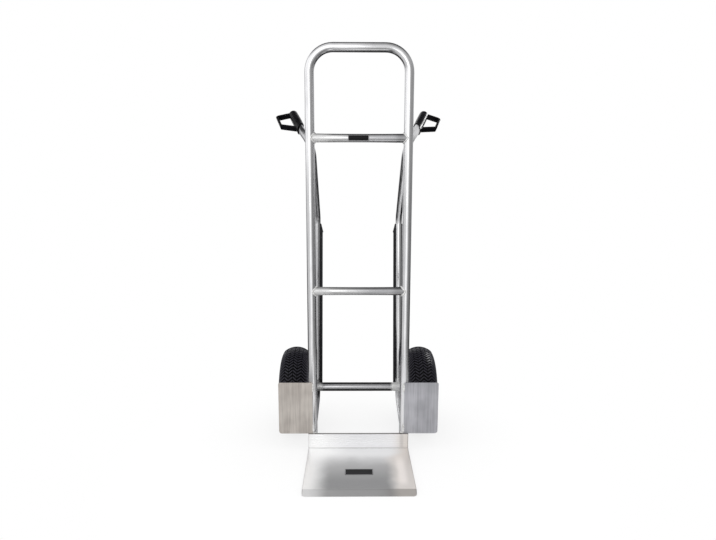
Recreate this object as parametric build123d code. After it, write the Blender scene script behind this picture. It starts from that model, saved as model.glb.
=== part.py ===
from build123d import *
import os
from math import asin, atan2, cos, hypot, radians, sqrt, tan

# Aluminium sack truck that stands on its toe plate and two pneumatic wheels.
# Millimetres, +Z up. The origin is on the floor, midway between the rails, below the front face
# of the toe plate's upright flange. The toe plate reaches forward to -Y, the wheels lie at +Y.
# Left is -X and right is +X, as seen by someone who stands in front of the toe plate.

# Main frame: one round tube bent to a hoop, its two legs are the rails
FRAME_WIDTH = 320.0
FRAME_HEIGHT = 1255.0
RAIL_DIAMETER = 28.0
RAIL_WALL = 2.5
RAIL_FOOT_HEIGHT = 4.0
HOOP_BEND_RADIUS = 69.0

# Crossbars between the rails, waisted, with the weld built up at each end
CROSSBAR_DIAMETER = 24.5
CROSSBAR_SWELL = 0.7
CROSSBAR_WALL = 2.0
UPPER_CROSSBAR_HEIGHT = 986.0
MIDDLE_CROSSBAR_HEIGHT = 524.0
WELD_INSET = 0.3
WELD_FLARE_LENGTH = 12.0

# Toe plate: an extrusion with an upright flange at its heel and ribs below its tread
TOE_DEPTH = 248.0
TOE_TOP = 12.0
TOE_SKIN = 4.5
TOE_RIB = 4.0
TOE_RIB_COUNT = 6
TOE_HEEL_RADIUS = 3.0
FLANGE_HEIGHT = 61.0
FLANGE_THICKNESS = 7.0
FLANGE_FLUTE = 1.6
FLANGE_FLUTE_COUNT = 6
NOSE_LENGTH = 18.0
NOSE_EDGE = 2.0
NOSE_CORNER_RADIUS = 10.0

# Wheel guards: flat plates welded to the front of the rails
GUARD_REACH = 108.0
GUARD_HEIGHT = 170.0
GUARD_THICKNESS = 3.0
GUARD_LOWER_RADIUS = 9.0
GUARD_UPPER_RADIUS = 4.0

# Skid tubes: each one runs from the grip past the rail, down the stairs skid and forward to the foot
SKID_DIAMETER = 22.0
SKID_WALL = 2.0
WELD_GAP = 0.2
SKID_CONTACT_HEIGHT = 965.0
SKID_CONTACT_INSET = 6.0
SKID_CONTACT_BEND = 45.0
KNEE_BACK = 242.0
KNEE_DROP = 230.0
KNEE_OUT = 2.0
KNEE_BEND = 44.0
FOOT_BEND = 45.0
FOOT_BEND_HEIGHT = 100.0
SKID_FOOT_HEIGHT = 66.0
ELBOW_OUT = 31.5
ELBOW_BACK = 44.0
ELBOW_RISE = 41.0
ELBOW_BEND = 60.0
GRIP_OUT = 41.5
GRIP_BACK = 124.5
GRIP_RISE = 68.0

# Black skid strips: U-shaped channel pressed on the back of the skid tubes, below a tapered clamp
STRIP_WIDTH = 36.0
STRIP_BACK = 7.0
STRIP_LIP = 3.0
STRIP_CORNER = 5.0
STRIP_FIT = 0.1
CLAMP_LENGTH = 30.0
CLAMP_HEAD_WALL = 2.0
CLAMP_OVERHANG = 2.0
CLAMP_CORNER = 7.0
RIVET_HEAD_DIAMETER = 9.0
RIVET_SHANK_DIAMETER = 4.8
RIVET_COUNT = 4
RIVET_MARGIN = 40.0

# D-grips: a sleeve on the tube's end, its foot cut on a slant, with a bow that guards the knuckles
GRIP_LENGTH = 138.0
GRIP_SLANT = 40.0
GRIP_WALL = 3.45
GRIP_BARREL = 0.6
GRIP_END_ROUND = 4.0
GRIP_CAP = 6.0
GRIP_FIT = 0.05
GRIP_RING_COUNT = 9
GRIP_RING_DEPTH = 0.8
GRIP_RING_WIDTH = 2.4
BOW_REACH = 52.0
BOW_FOOT = 14.0
BOW_LOWER = 77.0
BOW_UPPER = 149.0
BOW_THICKNESS = 8.0
BOW_WIDTH = 16.5
BOW_BEND = 5.0
BOW_EDGE = 2.0
LEFT_BOW_TILT = 13.0
RIGHT_BOW_TILT = 19.5

# Axle: a tube across the skid tubes carries a steel axle
AXLE_BACK = 200.0
AXLE_TUBE_DIAMETER = 30.0
AXLE_DIAMETER = 20.0
AXLE_FIT = 0.05
AXLE_CHAMFER = 1.5
WASHER_DIAMETER = 27.0
WASHER_THICKNESS = 3.0
PIN_DIAMETER = 4.0
PIN_FIT = 0.1
PIN_GAP = 0.2
PIN_OVERHANG = 5.0
PIN_EYE_DIAMETER = 6.0
PIN_EYE_WIRE = 2.6
AXLE_END_MARGIN = 6.0

# Wheels: pneumatic tyres on split steel rims
WHEEL_OFFSET = 72.0
TYRE_DIAMETER = 282.0
TYRE_WIDTH = 100.0
TREAD_WIDTH = 80.0
SHOULDER_DROP = 14.0
TREAD_THICKNESS = 9.0
SIDEWALL = 5.0
BEAD_WIDTH = 12.0
BEAD_HEIGHT = 9.0
BEAD_STEP = 3.0
TREAD_GROOVE = 3.0
TREAD_GROOVE_DEPTH = 5.0
TREAD_GROOVE_SPREAD = 27.0
LUG_COUNT = 30
LUG_NOTCH = 9.0
LUG_NOTCH_LENGTH = 20.0
LUG_NOTCH_DEPTH = 3.5
LUG_NOTCH_LEAN = 60.0
TUBE_WALL = 2.5
TUBE_GAP = 0.6
TUBE_SIDE_GAP = 4.3
RIM_SEAT_DIAMETER = 102.0
RIM_WIDTH = 64.0
RIM_SHEET = 2.5
RIM_LIP = 13.0
RIM_LIP_ROUND = 2.0
RIM_DISH = 7.0
HUB_DIAMETER = 52.0
HUB_LENGTH = 76.0
HUB_BORE = 40.0
BEARING_DIAMETER = 47.0
BEARING_WIDTH = 14.0
BEARING_RECESS = 1.0
RACE_THICKNESS = 4.0
RACE_FIT = 0.02
BALL_DIAMETER = 7.9
BALL_FIT = 0.08
BALL_COUNT = 8
SHIELD_THICKNESS = 0.6
SHIELD_GAP = 0.4
BOLT_DIAMETER = 8.0
BOLT_HEAD = 13.0
BOLT_HEAD_HEIGHT = 5.3
NUT_HEIGHT = 6.5
BOLT_OVERHANG = 2.0
BOLT_FIT = 0.2
NUT_FIT = 0.1
BOLT_CIRCLE = 70.0
BOLT_COUNT = 4
VALVE_DIAMETER = 8.0
VALVE_FIT = 0.2
VALVE_OFFSET = 14.0
VALVE_DEPTH = 11.0
VALVE_BEND = 7.0
VALVE_REACH = 24.0
VALVE_CAP_DIAMETER = 10.5
VALVE_CAP_LENGTH = 12.0

# Places that follow from the driving dimensions
RAIL_RADIUS = RAIL_DIAMETER / 2
RAIL_X = FRAME_WIDTH / 2 - RAIL_RADIUS
RAIL_Y = FLANGE_THICKNESS + RAIL_RADIUS
SKID_RADIUS = SKID_DIAMETER / 2
AXLE_HEIGHT = TYRE_DIAMETER / 2
WHEEL_SPREAD = RAIL_X + WHEEL_OFFSET
GRIP_AXIS = Vector(GRIP_OUT, GRIP_BACK, GRIP_RISE).normalized()


def tube_along(path, diameter, wall):
    """Round hollow tube of one diameter and wall along a path of lines and arcs."""
    ring = Circle(diameter / 2) - Circle(diameter / 2 - wall)
    return sweep(Plane(origin=path @ 0, z_dir=path % 0) * ring, path=path)


def rod_between(start, end, diameter):
    """Solid round bar from one point to another."""
    axis = Vector(*end) - Vector(*start)
    return extrude(Plane(origin=start, z_dir=axis) * Circle(diameter / 2), axis.length)


def rail_solid(side):
    """Full outer form of one rail, which copes whatever is welded to it."""
    foot = (side * RAIL_X, RAIL_Y, 0)
    return rod_between(foot, (side * RAIL_X, RAIL_Y, FRAME_HEIGHT), RAIL_DIAMETER)


def turned(outline):
    """Solid of revolution about X from an outline of (axial place, radius)."""
    return revolve(outline, Axis.X)


def ring_of(inner_radius, outer_radius, start, end):
    """Plain ring about X between two axial places."""
    outline = Pos((start + end) / 2, (inner_radius + outer_radius) / 2) * Rectangle(
        end - start, outer_radius - inner_radius
    )
    return turned(outline)


def around_x(solid, count):
    """The solid repeated evenly about the X axis."""
    return [Rot(360 * k / count, 0, 0) * solid for k in range(count)]


def round_corner(outline, place, radius):
    """Rounds the one corner of an outline that lies at a place."""
    return fillet(outline.vertices().sort_by_distance((*place, 0))[0], radius)


def other_side(solid):
    """Mirror image on the other side of the truck."""
    return mirror(solid, about=Plane.YZ)


def main_frame():
    """Hoop-bent tube: two rails and the top loop in one piece."""
    top = FRAME_HEIGHT - RAIL_RADIUS
    route = FilletPolyline(
        (-RAIL_X, RAIL_Y, RAIL_FOOT_HEIGHT),
        (-RAIL_X, RAIL_Y, top),
        (RAIL_X, RAIL_Y, top),
        (RAIL_X, RAIL_Y, RAIL_FOOT_HEIGHT),
        radius=HOOP_BEND_RADIUS,
    )
    return tube_along(route, RAIL_DIAMETER, RAIL_WALL)


def crossbar(height):
    """Waisted tube coped to both rails, flared at its ends where the weld is built up."""
    waist, weld = CROSSBAR_DIAMETER / 2, RAIL_RADIUS - WELD_INSET
    bore, end = waist - CROSSBAR_WALL, waist + CROSSBAR_SWELL
    flare_start = RAIL_X - RAIL_RADIUS - WELD_FLARE_LENGTH
    wall = make_face(
        Polyline((-RAIL_X, weld), (-RAIL_X, bore), (RAIL_X, bore), (RAIL_X, weld))
        + weld_curve(1, flare_start, end)
        + ThreePointArc((flare_start, end), (0, waist), (-flare_start, end))
        + weld_curve(-1, flare_start, end)
    )
    bar = Pos(0, RAIL_Y, height) * turned(wall)
    return bar - rail_solid(-1) - rail_solid(1)


def weld_curve(side, flare_start, start_radius):
    """Concave rise of the weld from the bare tube almost to the rail's own depth."""
    end = (side * RAIL_X, RAIL_RADIUS - WELD_INSET)
    return TangentArc((side * flare_start, start_radius), end, tangent=(side, 0))


def toe_plate():
    """Extrusion with tread, ribs, flange and sloped nose, its two nose corners rounded."""
    nose_crest = TOE_DEPTH - NOSE_LENGTH
    outline = make_face(Polyline(
        (FLANGE_THICKNESS, 0),
        (FLANGE_THICKNESS, FLANGE_HEIGHT),
        (0, FLANGE_HEIGHT),
        (0, TOE_TOP),
        (-nose_crest, TOE_TOP),
        (-TOE_DEPTH, NOSE_EDGE),
        (-TOE_DEPTH, 0),
        close=True,
    ))
    bay_start = TOE_RIB
    bay_end = nose_crest - TOE_RIB
    pitch = (bay_end - bay_start + TOE_RIB) / TOE_RIB_COUNT
    bay_height = TOE_TOP - TOE_SKIN
    for k in range(TOE_RIB_COUNT):
        middle = bay_start + k * pitch + (pitch - TOE_RIB) / 2
        outline -= Pos(-middle, bay_height / 2) * Rectangle(pitch - TOE_RIB, bay_height)
    flute_pitch = (FLANGE_HEIGHT - TOE_TOP) / (FLANGE_FLUTE_COUNT + 1)
    for k in range(FLANGE_FLUTE_COUNT):
        flute = Rot(0, 0, 45) * Rectangle(FLANGE_FLUTE / sqrt(2), FLANGE_FLUTE / sqrt(2))
        outline -= Pos(0, TOE_TOP + (k + 1) * flute_pitch) * flute
    outline = round_corner(outline, (0, TOE_TOP), TOE_HEEL_RADIUS)
    side_plane = Plane(origin=(-FRAME_WIDTH / 2, 0, 0), x_dir=(0, 1, 0), z_dir=(1, 0, 0))
    plate = extrude(side_plane * outline, FRAME_WIDTH)
    footprint = Pos(0, (FLANGE_THICKNESS - TOE_DEPTH) / 2) * Rectangle(
        FRAME_WIDTH, TOE_DEPTH + FLANGE_THICKNESS
    )
    nose_corners = footprint.vertices().sort_by(Axis.Y)[:2]
    footprint = fillet(nose_corners, NOSE_CORNER_RADIUS)
    return plate & extrude(footprint, FLANGE_HEIGHT)


def wheel_guard():
    """Right guard: a flat plate that stands on the flange and is welded to the rail's front."""
    corner = (RAIL_X, FLANGE_THICKNESS, FLANGE_HEIGHT)
    front = Plane(origin=corner, x_dir=(1, 0, 0), z_dir=(0, -1, 0))
    sheet = Pos(GUARD_REACH / 2, GUARD_HEIGHT / 2) * Rectangle(GUARD_REACH, GUARD_HEIGHT)
    sheet = round_corner(sheet, (GUARD_REACH, 0), GUARD_LOWER_RADIUS)
    sheet = round_corner(sheet, (GUARD_REACH, GUARD_HEIGHT), GUARD_UPPER_RADIUS)
    return extrude(front * sheet, GUARD_THICKNESS)


def skid_points():
    """Corners of the right skid tube from the grip's tip to the rail's foot.

    The corner behind the rail is set so that the bend just touches the rail, and the long run
    so that it touches the back of the axle tube.
    """
    knee_way = Vector(KNEE_OUT, KNEE_BACK, -KNEE_DROP)
    elbow_way = Vector(ELBOW_OUT, ELBOW_BACK, ELBOW_RISE)
    half_turn = (180 - knee_way.get_angle(elbow_way)) / 2
    inward = (knee_way.normalized() + elbow_way.normalized()).normalized()
    apex = inward * (SKID_CONTACT_BEND * (1 / cos(radians(half_turn)) - 1))
    inset = SKID_CONTACT_INSET - apex.X
    reach = RAIL_RADIUS + SKID_RADIUS + WELD_GAP
    contact_y = RAIL_Y + sqrt(reach ** 2 - inset ** 2) - apex.Y
    contact = Vector(RAIL_X - SKID_CONTACT_INSET, contact_y, SKID_CONTACT_HEIGHT)
    knee = contact + knee_way
    elbow = contact + elbow_way
    tip = elbow + GRIP_AXIS * Vector(GRIP_OUT, GRIP_BACK, GRIP_RISE).length

    forward, drop = knee.Y - AXLE_BACK, knee.Z - AXLE_HEIGHT
    clear = AXLE_TUBE_DIAMETER / 2 + SKID_RADIUS + WELD_GAP
    lean = atan2(forward, drop) - asin(clear / hypot(forward, drop))
    bend_y = knee.Y - (knee.Z - FOOT_BEND_HEIGHT) * tan(lean)
    foot_bend = Vector(RAIL_X, bend_y, FOOT_BEND_HEIGHT)
    foot = Vector(RAIL_X, RAIL_Y, SKID_FOOT_HEIGHT)
    return tip, elbow, contact, knee, foot_bend, foot


def grip_plane(tilt):
    """Plane at the grip's foot: Z along the tube towards the tip, X out to the bow, turned by a tilt."""
    tip = skid_points()[0]
    across = Vector(1, 0, 0) - GRIP_AXIS * GRIP_AXIS.X
    bow_way = across.normalized().rotate(Axis((0, 0, 0), GRIP_AXIS), tilt)
    return Plane(origin=tip - GRIP_AXIS * GRIP_LENGTH, x_dir=bow_way, z_dir=GRIP_AXIS)


def skid_tube():
    """Right skid tube: grip arm, bend on the rail, stairs skid and lower strut in one bent tube."""
    tip, elbow, contact, knee, foot_bend, foot = skid_points()
    tube_end = tip - GRIP_AXIS * GRIP_CAP
    route = FilletPolyline(
        tube_end, elbow, contact, knee, foot_bend, foot,
        radius=[ELBOW_BEND, SKID_CONTACT_BEND, KNEE_BEND, FOOT_BEND],
    )
    return tube_along(route, SKID_DIAMETER, SKID_WALL) - rail_solid(1)


def bend_setback(before, corner, after, bend_radius):
    """Length from a corner to where its bend begins."""
    turn = (corner - before).get_angle(after - corner)
    return bend_radius * tan(radians(turn) / 2)


def skid_run():
    """Plane at the top of the straight stairs run, Z down along it and Y forward, and its length."""
    tip, elbow, contact, knee, foot_bend, foot = skid_points()
    way = (foot_bend - knee).normalized()
    start = knee + way * bend_setback(contact, knee, foot_bend, KNEE_BEND)
    end = foot_bend - way * bend_setback(knee, foot_bend, foot, FOOT_BEND)
    across = (Vector(1, 0, 0) - way * way.X).normalized()
    return Plane(origin=start, x_dir=across, z_dir=way), (end - start).length


def tube_groove():
    """Section of the groove that takes the back half of the skid tube, open to the front."""
    half = SKID_RADIUS + STRIP_FIT
    return Circle(half) + Pos(0, STRIP_LIP) * Rectangle(2 * half, 2 * STRIP_LIP)


def skid_clamp():
    """Moulded clamp behind the tube, which widens downwards to the head of the strip."""
    run, length = skid_run()
    head_width, foot_width = SKID_DIAMETER + 2 * CLAMP_HEAD_WALL, STRIP_WIDTH + 2 * CLAMP_OVERHANG
    head = RectangleRounded(head_width, head_width, CLAMP_CORNER)
    foot = RectangleRounded(foot_width, foot_width, CLAMP_CORNER)
    block = loft([run * head, run.offset(CLAMP_LENGTH) * foot])
    front = Pos(0, STRIP_LIP + foot_width / 2) * Rectangle(foot_width, foot_width)
    return block - extrude(run * (tube_groove() + front), CLAMP_LENGTH)


def rivet_places():
    """Distances of the rivets from the top of the straight run."""
    run, length = skid_run()
    first, last = CLAMP_LENGTH + RIVET_MARGIN, length - RIVET_MARGIN
    return [first + (last - first) * k / (RIVET_COUNT - 1) for k in range(RIVET_COUNT)]


def rivet_line(distance):
    """Plane on the strip's back at one rivet, Z pointing out of the back."""
    run, length = skid_run()
    back = SKID_RADIUS + STRIP_BACK
    origin = run.origin + run.z_dir * distance - run.y_dir * back
    return Plane(origin=origin, x_dir=run.x_dir, z_dir=-run.y_dir)


def skid_strip():
    """U-shaped channel that holds the back half of the tube, with sunk seats for its rivets."""
    run, length = skid_run()
    back = SKID_RADIUS + STRIP_BACK
    block = Pos(0, (STRIP_LIP - back) / 2) * Rectangle(STRIP_WIDTH, STRIP_LIP + back)
    block = fillet(block.vertices().sort_by(Axis.Y)[:2], STRIP_CORNER)
    section = block - tube_groove()
    strip = extrude(run.offset(CLAMP_LENGTH) * section, length - CLAMP_LENGTH)
    for distance in rivet_places():
        seat = rivet_line(distance) * rivet_form(STRIP_FIT)
        strip -= seat
    return strip


def rivet_form(clearance):
    """Countersunk rivet in its own frame, its head flush with the back of the strip."""
    head, shank = RIVET_HEAD_DIAMETER / 2 + clearance, RIVET_SHANK_DIAMETER / 2 + clearance
    sink = head - shank
    outline = make_face(Polyline(
        (0, 0), (head, 0), (shank, -sink), (shank, -STRIP_BACK), (0, -STRIP_BACK), close=True,
    ))
    return revolve(Plane.XZ * outline, Axis.Z)


def grip_sleeve():
    """Barrel-shaped sleeve with finger rings, a rounded tip and a foot that is longest below the bow."""
    radius = SKID_RADIUS + GRIP_FIT + GRIP_WALL
    belly = (radius + GRIP_BARREL, (GRIP_SLANT + GRIP_LENGTH) / 2)
    outline = make_face(
        Polyline((radius, GRIP_LENGTH), (0, GRIP_LENGTH), (0, 0), (radius, 0), (radius, GRIP_SLANT))
        + ThreePointArc((radius, GRIP_SLANT), belly, (radius, GRIP_LENGTH))
    )
    outline = round_corner(outline, (radius, GRIP_LENGTH), GRIP_END_ROUND)
    ring_pitch = (GRIP_LENGTH - GRIP_SLANT) / (GRIP_RING_COUNT + 1)
    ring = Rectangle(2 * (GRIP_RING_DEPTH + GRIP_BARREL), GRIP_RING_WIDTH)
    for k in range(GRIP_RING_COUNT):
        outline -= Pos(radius + GRIP_BARREL, GRIP_SLANT + (k + 1) * ring_pitch) * ring
    slant = make_face(Polyline((radius, 0), (-radius, 0), (-radius, GRIP_SLANT), close=True))
    return revolve(Plane.XZ * outline, Axis.Z) - extrude(Plane.XZ * slant, radius, both=True)


def grip(tilt):
    """Right D-grip: the sleeve, and a strap-like bow from its tip out and back to its foot."""
    route = FilletPolyline(
        (0, 0, GRIP_LENGTH - BOW_THICKNESS / 2),
        (BOW_REACH, 0, BOW_UPPER),
        (BOW_REACH, 0, BOW_LOWER),
        (0, 0, BOW_FOOT),
        radius=BOW_BEND,
    )
    strap = RectangleRounded(BOW_WIDTH, BOW_THICKNESS, BOW_EDGE)
    section = Plane(origin=route @ 0, x_dir=(0, 1, 0), z_dir=route % 0) * strap
    moulding = grip_sleeve() + sweep(section, path=route)
    bore = SKID_DIAMETER + 2 * GRIP_FIT
    moulding -= rod_between((0, 0, 0), (0, 0, GRIP_LENGTH - GRIP_CAP), bore)
    return grip_plane(tilt).location * moulding


def hub_inner_face():
    """Place across the truck of the bearing face that looks to the frame."""
    return WHEEL_SPREAD - HUB_LENGTH / 2 + BEARING_RECESS


def axle_tube():
    """Thick tube welded in front of both skid tubes, its bore carries the axle."""
    half = hub_inner_face() - WASHER_THICKNESS
    wall = ring_of(AXLE_DIAMETER / 2 + AXLE_FIT, AXLE_TUBE_DIAMETER / 2, -half, half)
    return at_axle(wall)


def at_axle(solid):
    """Moves a piece modelled about X to the axle line."""
    return Pos(0, AXLE_BACK, AXLE_HEIGHT) * solid


def pin_place():
    """Place across the truck of a split pin, beyond the outer washer."""
    outer_face = WHEEL_SPREAD + HUB_LENGTH / 2 - BEARING_RECESS
    return outer_face + WASHER_THICKNESS + PIN_GAP + PIN_DIAMETER / 2


def axle():
    """Steel axle with chamfered ends and a cross hole for each split pin."""
    half = pin_place() + PIN_DIAMETER / 2 + AXLE_END_MARGIN
    bar = rod_between((-half, 0, 0), (half, 0, 0), AXLE_DIAMETER)
    bar = chamfer(bar.edges().filter_by(GeomType.CIRCLE), AXLE_CHAMFER)
    hole = Cylinder(PIN_DIAMETER / 2 + PIN_FIT, AXLE_DIAMETER)
    for side in (-1, 1):
        bar -= Pos(side * pin_place(), 0, 0) * hole
    return at_axle(bar)


def axle_washers():
    """Four washers that hold the inner races between the axle tube and the split pins."""
    bore = AXLE_DIAMETER / 2 + AXLE_FIT
    inner_end = hub_inner_face()
    outer_start = WHEEL_SPREAD + HUB_LENGTH / 2 - BEARING_RECESS
    rings = []
    for start in (inner_end - WASHER_THICKNESS, outer_start):
        ring = at_axle(ring_of(bore, WASHER_DIAMETER / 2, start, start + WASHER_THICKNESS))
        rings += [ring, other_side(ring)]
    return rings


def split_pins():
    """Two split pins, each a round leg with an eye."""
    below = AXLE_DIAMETER / 2 + PIN_OVERHANG
    eye_height = (AXLE_DIAMETER + PIN_EYE_DIAMETER + PIN_EYE_WIRE) / 2
    neck = AXLE_DIAMETER / 2 + PIN_EYE_WIRE / 2
    leg = rod_between((0, 0, -below), (0, 0, neck), PIN_DIAMETER)
    eye = Pos(0, 0, eye_height) * Rot(0, 90, 0) * Torus(PIN_EYE_DIAMETER / 2, PIN_EYE_WIRE / 2)
    pin = at_axle(Pos(pin_place(), 0, 0) * (leg + eye))
    return [pin, other_side(pin)]


def tyre_section():
    """Outline of the tyre's carcass as (axial place, radius)."""
    crown, shoulder = TYRE_DIAMETER / 2, TYRE_DIAMETER / 2 - SHOULDER_DROP
    seat, half_rim = RIM_SEAT_DIAMETER / 2, RIM_WIDTH / 2
    widest = (shoulder + seat) / 2 + BEAD_HEIGHT / 2
    half_tread, half_width = TREAD_WIDTH / 2, TYRE_WIDTH / 2
    bead_top, toe = seat + RIM_LIP + BEAD_STEP, half_rim - BEAD_WIDTH
    outer_wall, inner_wall = (half_width, widest), (half_width - SIDEWALL, widest)
    inner_x, inner_radius = half_tread - SIDEWALL, shoulder - TREAD_THICKNESS / 2
    right = [
        TangentArc(outer_wall, (half_tread, shoulder), tangent=(0, 1)),
        TangentArc(outer_wall, (half_rim, bead_top), tangent=(0, -1)),
        Polyline((half_rim, bead_top), (half_rim, seat), (toe, seat), (toe, seat + BEAD_HEIGHT)),
        TangentArc(inner_wall, (toe, seat + BEAD_HEIGHT), tangent=(0, -1)),
        TangentArc(inner_wall, (inner_x, inner_radius), tangent=(0, 1)),
    ]
    outer = ThreePointArc((-half_tread, shoulder), (0, crown), (half_tread, shoulder))
    inner = ThreePointArc(
        (-inner_x, inner_radius), (0, crown - TREAD_THICKNESS), (inner_x, inner_radius)
    )
    left = [mirror(edge, about=Plane.YZ) for edge in right]
    return make_face(Curve() + [outer, inner] + right + left)


def tyre():
    """Right tyre: carcass with two grooves round the crown and notched shoulders."""
    section, crown = tyre_section(), TYRE_DIAMETER / 2
    groove = Rectangle(TREAD_GROOVE, 2 * TREAD_GROOVE_DEPTH)
    for side in (-1, 1):
        section -= Pos(side * TREAD_GROOVE_SPREAD / 2, crown) * groove
    shoulder = crown - SHOULDER_DROP
    notch = Box(LUG_NOTCH_LENGTH, LUG_NOTCH, 2 * LUG_NOTCH_DEPTH)
    notches = []
    for side in (-1, 1):
        seat = Pos(side * TREAD_WIDTH / 2, 0, shoulder) * Rot(0, side * LUG_NOTCH_LEAN, 0) * notch
        offset = 180 / LUG_COUNT if side > 0 else 0
        notches += [Rot(offset, 0, 0) * cut for cut in around_x(seat, LUG_COUNT)]
    return turned(section) - notches


def inner_tube():
    """Hollow rubber tube that fills the tyre."""
    seat = RIM_SEAT_DIAMETER / 2
    low = seat + BEAD_HEIGHT + TUBE_GAP
    high = TYRE_DIAMETER / 2 - TREAD_THICKNESS - TUBE_GAP
    half_width = TYRE_WIDTH / 2 - SIDEWALL - TUBE_SIDE_GAP
    middle, half_height = (low + high) / 2, (high - low) / 2
    outer = Ellipse(half_width, half_height)
    hollow = Ellipse(half_width - TUBE_WALL, half_height - TUBE_WALL)
    return turned(Pos(0, middle) * (outer - hollow))


def rim_half():
    """Outer half of the split rim: disc at the wheel's middle, bead seat and lip."""
    seat, hub = RIM_SEAT_DIAMETER / 2, HUB_DIAMETER / 2
    half, sheet = RIM_WIDTH / 2, RIM_SHEET
    outline = make_face(Polyline(
        (0, hub), (0, seat - RIM_DISH), (RIM_DISH, seat), (half, seat), (half, seat + RIM_LIP),
        (half + sheet, seat + RIM_LIP), (half + sheet, seat - sheet),
        (RIM_DISH + sheet / 2, seat - sheet), (sheet, seat - RIM_DISH - sheet / 2), (sheet, hub),
        close=True,
    ))
    outline = round_corner(outline, (half + sheet, seat + RIM_LIP), RIM_LIP_ROUND)
    hole = Rot(0, 90, 0) * Cylinder(BOLT_DIAMETER / 2 + BOLT_FIT, RIM_WIDTH)
    return turned(outline) - around_x(Pos(0, 0, BOLT_CIRCLE / 2) * hole, BOLT_COUNT)


def valve_rim_half():
    """Outer rim half with the hole for the valve."""
    start, end = HUB_DIAMETER / 2, RIM_SEAT_DIAMETER / 2 + RIM_LIP
    hole = rod_between((VALVE_OFFSET, 0, start), (VALVE_OFFSET, 0, end), VALVE_DIAMETER + 2 * VALVE_FIT)
    return rim_half() - Rot(180 / BOLT_COUNT, 0, 0) * hole


def valve():
    """Bent valve stem from the inner tube, with its cap."""
    start = RIM_SEAT_DIAMETER / 2 + BEAD_HEIGHT + TUBE_GAP / 2
    height = RIM_SEAT_DIAMETER / 2 - VALVE_DEPTH
    reach = VALVE_OFFSET + VALVE_REACH
    route = FilletPolyline(
        (VALVE_OFFSET, 0, start), (VALVE_OFFSET, 0, height), (reach, 0, height), radius=VALVE_BEND,
    )
    stem = sweep(Plane(origin=route @ 0, z_dir=route % 0) * Circle(VALVE_DIAMETER / 2), path=route)
    cap = rod_between((reach - VALVE_CAP_LENGTH, 0, height), (reach, 0, height), VALVE_CAP_DIAMETER)
    return Rot(180 / BOLT_COUNT, 0, 0) * (stem + cap)


def hub():
    """Steel hub tube with a seat for a bearing at each end."""
    radius, half = HUB_DIAMETER / 2, HUB_LENGTH / 2
    seat_end = half - BEARING_RECESS - BEARING_WIDTH
    body = ring_of(HUB_BORE / 2, radius, -half, half)
    for side in (-1, 1):
        ends = sorted((side * seat_end, side * half))
        body -= ring_of(HUB_BORE / 2, BEARING_DIAMETER / 2, *ends)
    return body


def ball_circle():
    """Radius of the circle on which the balls' centres lie."""
    return (BEARING_DIAMETER / 2 + AXLE_DIAMETER / 2) / 2


def both_bearings(solid):
    """A bearing piece, modelled about its own middle, at both ends of the hub."""
    middle = HUB_LENGTH / 2 - BEARING_RECESS - BEARING_WIDTH / 2
    return [Pos(side * middle, 0, 0) * solid for side in (-1, 1)]


def race_groove():
    """Ring-shaped groove that the balls run in."""
    return turned(Pos(0, ball_circle()) * Circle(BALL_DIAMETER / 2 + BALL_FIT))


def outer_races():
    """Outer bearing rings, pressed into the hub."""
    outer = BEARING_DIAMETER / 2
    ring = ring_of(outer - RACE_THICKNESS, outer, -BEARING_WIDTH / 2, BEARING_WIDTH / 2)
    return both_bearings(ring - race_groove())


def inner_races():
    """Inner bearing rings, held on the axle."""
    bore = AXLE_DIAMETER / 2 + RACE_FIT
    ring = ring_of(bore, bore + RACE_THICKNESS, -BEARING_WIDTH / 2, BEARING_WIDTH / 2)
    return both_bearings(ring - race_groove())


def bearing_balls():
    """Balls of both bearings."""
    ball = Pos(0, 0, ball_circle()) * Sphere(BALL_DIAMETER / 2)
    return [placed for one in around_x(ball, BALL_COUNT) for placed in both_bearings(one)]


def bearing_shields():
    """Thin shields that close both sides of each bearing."""
    inner = AXLE_DIAMETER / 2 + RACE_THICKNESS + SHIELD_GAP
    outer = BEARING_DIAMETER / 2 - RACE_THICKNESS
    face = BEARING_WIDTH / 2
    shield = ring_of(inner, outer, face - SHIELD_THICKNESS, face)
    pair = (shield, other_side(shield))
    return [placed for one in pair for placed in both_bearings(one)]


def hexagon():
    """Outline shared by the bolts' heads and the nuts."""
    return RegularPolygon(BOLT_HEAD / 2, 6, major_radius=False)


def rim_bolts():
    """Hexagon bolts that clamp the rim halves, heads outward."""
    head_start, tail = RIM_SHEET, -(RIM_SHEET + NUT_HEIGHT + BOLT_OVERHANG)
    shank = rod_between((tail, 0, 0), (head_start, 0, 0), BOLT_DIAMETER)
    head_plane = Plane(origin=(head_start, 0, 0), z_dir=(1, 0, 0))
    head = extrude(head_plane * hexagon(), BOLT_HEAD_HEIGHT)
    return around_x(Pos(0, 0, BOLT_CIRCLE / 2) * (shank + head), BOLT_COUNT)


def rim_nuts():
    """Nuts on the inner side of the rim."""
    plane = Plane(origin=(-RIM_SHEET - NUT_HEIGHT, 0, 0), z_dir=(1, 0, 0))
    nut = extrude(plane * (hexagon() - Circle(BOLT_DIAMETER / 2 + NUT_FIT)), NUT_HEIGHT)
    return around_x(Pos(0, 0, BOLT_CIRCLE / 2) * nut, BOLT_COUNT)


def wheel_pieces():
    """Right wheel's pieces about their own middle, outer side at +X."""
    return {
        "tyre": [tyre()],
        "inner_tube": [inner_tube()],
        "outer_rim": [valve_rim_half()],
        "inner_rim": [other_side(rim_half())],
        "hub": [hub()],
        "outer_races": outer_races(),
        "inner_races": inner_races(),
        "bearing_balls": bearing_balls(),
        "bearing_shields": bearing_shields(),
        "rim_bolts": rim_bolts(),
        "rim_nuts": rim_nuts(),
        "valve": [valve()],
    }


def rivets():
    """Rivets of both strips."""
    right = [rivet_line(distance) * rivet_form(0) for distance in rivet_places()]
    return right + [other_side(rivet) for rivet in right]


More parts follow.
